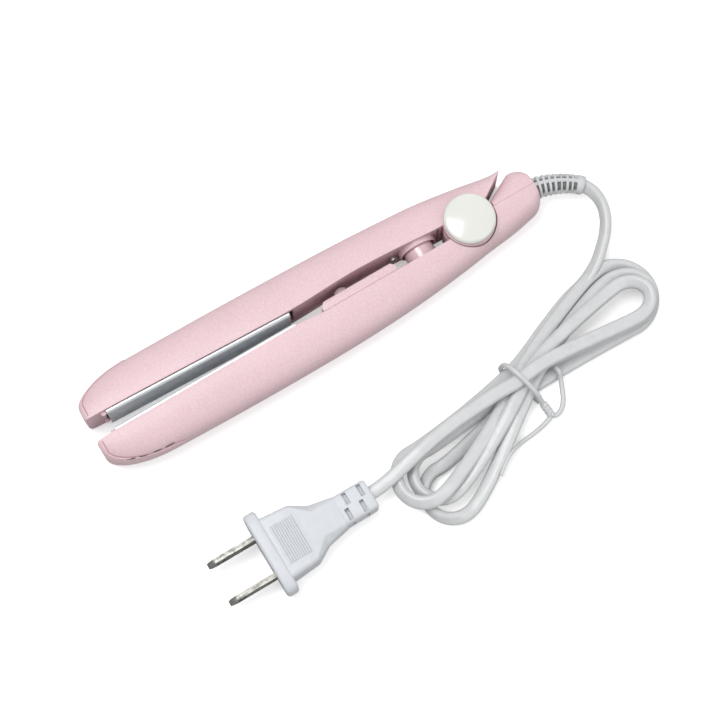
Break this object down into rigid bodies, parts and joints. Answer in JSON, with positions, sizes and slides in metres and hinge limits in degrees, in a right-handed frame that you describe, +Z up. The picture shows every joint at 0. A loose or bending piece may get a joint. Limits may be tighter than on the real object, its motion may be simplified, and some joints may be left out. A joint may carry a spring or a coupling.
{
  "type": "mini hair straightener",
  "caption": "Mini hair straightener with two hinged arms, metal hair plates, an opening spring, a tied-up flat cord and a flat-blade plug, lying on its side",
  "frame": {"origin": "foot of the hinge axis, on the surface that the straightener lies on", "axes": "+X along the main arm from the tips to the cord, +Y from the main arm to the swing arm, +Z up along the hinge axis"},
  "size_m": [0.1727, 0.0931, 0.0186],
  "materials": {
    "shell": "pink, fine satin texture",
    "cap": "glossy white",
    "plate": "grey anodised, fine lengthwise polish",
    "tray": "dark heat-resistant moulding",
    "ceramic": "pale ceramic",
    "sheet": "amber insulating sheet",
    "steel": "plain steel",
    "board": "green circuit board",
    "electronics": "small electronic parts",
    "lens": "translucent milky plastic",
    "wire": "red insulated wire",
    "clamp": "white moulding",
    "cord": "light grey-white soft vinyl",
    "tie": "white coated wire",
    "plug": "light grey-white moulded vinyl",
    "blade": "worn nickel plating"
  },
  "bodies": {
    "main_arm": {"main_shell": "shell", "main_cover": "shell", "hub_cover": "shell", "main_plate_carrier": "tray", "main_insulation": "sheet", "main_heater": "ceramic", "main_heat_plate": "plate", "main_screws": "steel", "control_board": "board", "board_parts": "electronics", "indicator_lens": "lens", "thermal_fuse": "steel", "cord_clamp": "clamp", "main_wires": "wire", "spring_post": "shell", "opening_spring": "steel", "hinge_pin": "steel", "hinge_washers": "steel", "hinge_cap": "cap", "hinge_foot_cap": "cap", "strain_relief": "cord", "cord_lead": "cord", "cord_hank": "cord", "cord_tail": "cord", "twist_tie": "tie", "plug_body": "plug", "plug_blades": "blade"},
    "swing_arm": {"swing_shell": "shell", "swing_cover": "shell", "swing_plate_carrier": "tray", "swing_insulation": "sheet", "swing_heater": "ceramic", "swing_heat_plate": "plate", "spring_collar": "shell", "swing_screws": "steel", "swing_wires": "wire"}
  },
  "joints": [
    {"name": "arm_hinge", "type": "hinge", "parent": "main_arm", "child": "swing_arm", "pos_m": [0, 0, 0], "axis": [0, 0, 1], "range_deg": [-6.5, 2], "stiffness_Nm_per_rad": 0.4, "deforming": ["opening_spring"]}
  ]
}
